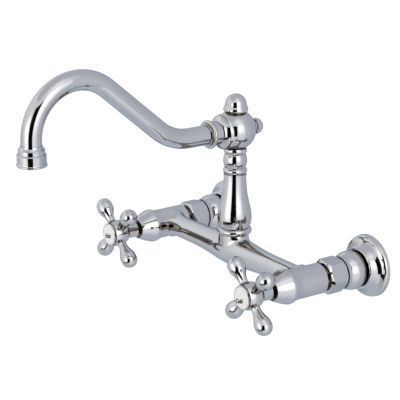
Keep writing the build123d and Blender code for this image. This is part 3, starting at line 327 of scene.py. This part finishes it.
def addWord(side, word, setup, paint):
    curve = bpy.data.curves.new(side + "Word", "FONT")
    curve.body = word
    curve.size = setup["size"][side]
    curve.shear = setup["slant"]
    curve.offset = setup["weight"]
    curve.align_x = "CENTER"
    curve.align_y = "CENTER"
    curve.extrude = setup["proud"] / 2
    holder = bpy.data.objects.new(side + "WordCurve", curve)
    bpy.context.scene.collection.objects.link(holder)
    bpy.context.view_layer.update()
    mesh = bpy.data.meshes.new_from_object(holder)
    bpy.data.objects.remove(holder)
    low, high = (Vector(corner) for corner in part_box(side + "_index_button"))
    middle = (low + high) / 2
    tilt = math.radians(setup["tilt"])
    across = Vector((math.cos(tilt), math.sin(tilt)))
    sideways, upwards = setup["centre"][side]
    for point in mesh.vertices:
        x = sideways + point.co.x * across.x - point.co.y * across.y
        z = upwards + point.co.x * across.y + point.co.y * across.x
        dome = (x * x + z * z) / (2 * setup["domeRadius"])
        point.co = (middle.x + x, low.y + dome - setup["proud"] - point.co.z, middle.z + z)
    mesh.name = side + "Word"
    mesh.materials.clear()
    mesh.materials.append(paint)
    piece = bpy.data.objects.new(side + "_word", mesh)
    bpy.context.scene.collection.objects.link(piece)
    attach(piece, side + "_handle")


paint = letterPaint()
for side, word in lettering["words"].items():
    addWord(side, word, lettering, paint)
print("lettering added")


# studio

studio = {
    "reach": 1.9,           # the cards' distance from their centre
    "centre": (0, -0.07, 0.05),
    "cardStep": 6,          # degrees between a card's points
    "floorDrop": 2.0,
    "floorSize": 14.0,
    "floorTones": [(0.3, (0.9, 0.9, 0.9)), (0.7, (0.92, 0.92, 0.92))],
    "floorCloud": 1.5,
    "floorLift": 0.25,
    "skyFill": 0.9,         # level of the sky for soft light
    "cards": [
        # name, azimuth span, elevation span, colour at the peak, colour far from it,
        # azimuth and elevation of the peak, how far the fade spreads in each
        ("warmBox", (-34, 26), (-21.5, 38), (2.7, 2.66, 2.52), (1.0, 0.99, 0.97), (5, 3), (17, 17)),
        ("darkGap", (26, 64), (-24, 33), (0.004, 0.004, 0.004), (0.03, 0.028, 0.025), (42, 0), (60, 60)),
        ("darkTail", (26, 42), (-31, -24), (0.006, 0.006, 0.006), (0.1, 0.09, 0.08), (32, -25), (14, 8)),
        ("coolBox", (64, 110), (-32, 42), (2.6, 2.64, 2.7), (1.12, 1.13, 1.16), (82, 18), (17, 20)),
        ("coolTable", (64, 110), (-60, -32), (1.1, 1.1, 1.16), (0.74, 0.77, 0.85), (86, -30), (40, 22)),
        ("tableEdge", (-34, 26), (-32, -21.5), (0.004, 0.004, 0.004), (0.2, 0.19, 0.18), (20, -25),
         (54, 40)),
        ("tableTop", (-34, 40), (-60, -32), (0.55, 0.56, 0.58), (0.72, 0.75, 0.8), (5, -34), (40, 16)),
        ("tentFront", (-98, -34), (-20, 45), (1.13, 1.13, 1.13), (0.83, 0.86, 0.9), (-52, 30), (50, 26)),
        ("tentLeft", (-150, -34), (-60, -20), (0.8, 0.82, 0.86), (0.64, 0.69, 0.78), (-50, -22), (50, 40)),
        ("tentRear", (-150, -98), (-20, 45), (1.02, 1.03, 1.06), (0.61, 0.65, 0.74), (-98, 40), (26, 32)),
        ("tentRight", (110, 210), (-60, 45), (0.84, 0.85, 0.89), (0.65, 0.68, 0.75), (110, 12), (26, 60)),
        ("tentRoof", (-180, 180), (45, 88), (1.45, 1.44, 1.46), (0.7, 0.71, 0.76), (78, 48), (38, 28)),
        ("tentFoot", (-180, 180), (-88, -60), (0.62, 0.65, 0.72), (0.72, 0.77, 0.86), (0, -88), (60, 20)),
    ],
}


def glowMaterial():
    material, tree = newMaterial("studioGlow")
    colour = addNode(tree, "ShaderNodeAttribute", attribute_name="glow")
    light = addNode(tree, "ShaderNodeEmission", {"Strength": 1.0}, {"Color": colour.outputs["Color"]})
    addNode(tree, "ShaderNodeOutputMaterial", links={"Surface": light.outputs["Emission"]})
    return material


# evenly spaced values from the first to the last of a span, about a step apart
def spaced(span, step):
    count = max(2, round((span[1] - span[0]) / step))
    return [span[0] + (span[1] - span[0]) * i / count for i in range(count + 1)]


# glowing piece of a sphere round the faucet, brightest at its peak
def addCard(card, glow, setup):
    name, azimuths, elevations, bright, edge, peak, spread = card
    centre = Vector(setup["centre"])
    mesh = bpy.data.meshes.new(name)
    form = bmesh.new()
    rows, colours = [], []
    for el in spaced(elevations, setup["cardStep"]):
        row = []
        for az in spaced(azimuths, setup["cardStep"]):
            row.append(form.verts.new(centre + direction(az, el) * setup["reach"]))
            fade = math.exp(-((az - peak[0]) / spread[0]) ** 2 - ((el - peak[1]) / spread[1]) ** 2)
            colours.append([b * fade + e * (1 - fade) for b, e in zip(bright, edge)])
        rows.append(row)
    for lower, upper in zip(rows, rows[1:]):
        for i in range(len(lower) - 1):
            form.faces.new((lower[i], upper[i], upper[i + 1], lower[i + 1]))
    form.to_mesh(mesh)
    form.free()
    layer = mesh.color_attributes.new("glow", "FLOAT_COLOR", "POINT")
    for i, colour in enumerate(colours):
        layer.data[i].color = (*colour, 1)
    mesh.materials.append(glow)
    shell = bpy.data.objects.new(name, mesh)
    bpy.context.scene.collection.objects.link(shell)
    shell.visible_camera = False


def addFloor(setup):
    material, tree = newMaterial("paleFloor")
    tone = addRamp(tree, addNoise(tree, {"Scale": setup["floorCloud"]}), setup["floorTones"])
    matt = addNode(tree, "ShaderNodeBsdfDiffuse", links={"Color": tone})
    lift = addNode(tree, "ShaderNodeMath", {1: setup["floorLift"]}, {0: plainRays(tree)},
                   operation="MULTIPLY")
    light = addNode(tree, "ShaderNodeEmission", links={"Strength": lift.outputs[0]})
    both = addNode(tree, "ShaderNodeAddShader", links={0: matt.outputs[0], 1: light.outputs[0]})
    addNode(tree, "ShaderNodeOutputMaterial", links={"Surface": both.outputs[0]})
    mesh = bpy.data.meshes.new("floor")
    form = bmesh.new()
    bmesh.ops.create_circle(form, cap_ends=True, segments=64, radius=setup["floorSize"])
    form.to_mesh(mesh)
    form.free()
    mesh.materials.append(material)
    floor = bpy.data.objects.new("floor", mesh)
    floor.location = (0, 0, -setup["floorDrop"])
    bpy.context.scene.collection.objects.link(floor)


def addWorld(setup):
    world = bpy.data.worlds.new("studioWorld")
    world.use_nodes = True
    tree = world.node_tree
    tree.nodes.clear()
    level = addNode(tree, "ShaderNodeMapRange", {"To Min": setup["skyFill"], "To Max": 1.0},
                    {"Value": plainRays(tree)})
    back = addNode(tree, "ShaderNodeBackground", {"Color": (1, 1, 1, 1)},
                   {"Strength": level.outputs["Result"]})
    addNode(tree, "ShaderNodeOutputWorld", links={"Surface": back.outputs[0]})
    bpy.context.scene.world = world


addWorld(studio)
addFloor(studio)
glow = glowMaterial()
for card in studio["cards"]:
    addCard(card, glow, studio)
bpy.context.scene.view_settings.view_transform = "Standard"
print("studio set")
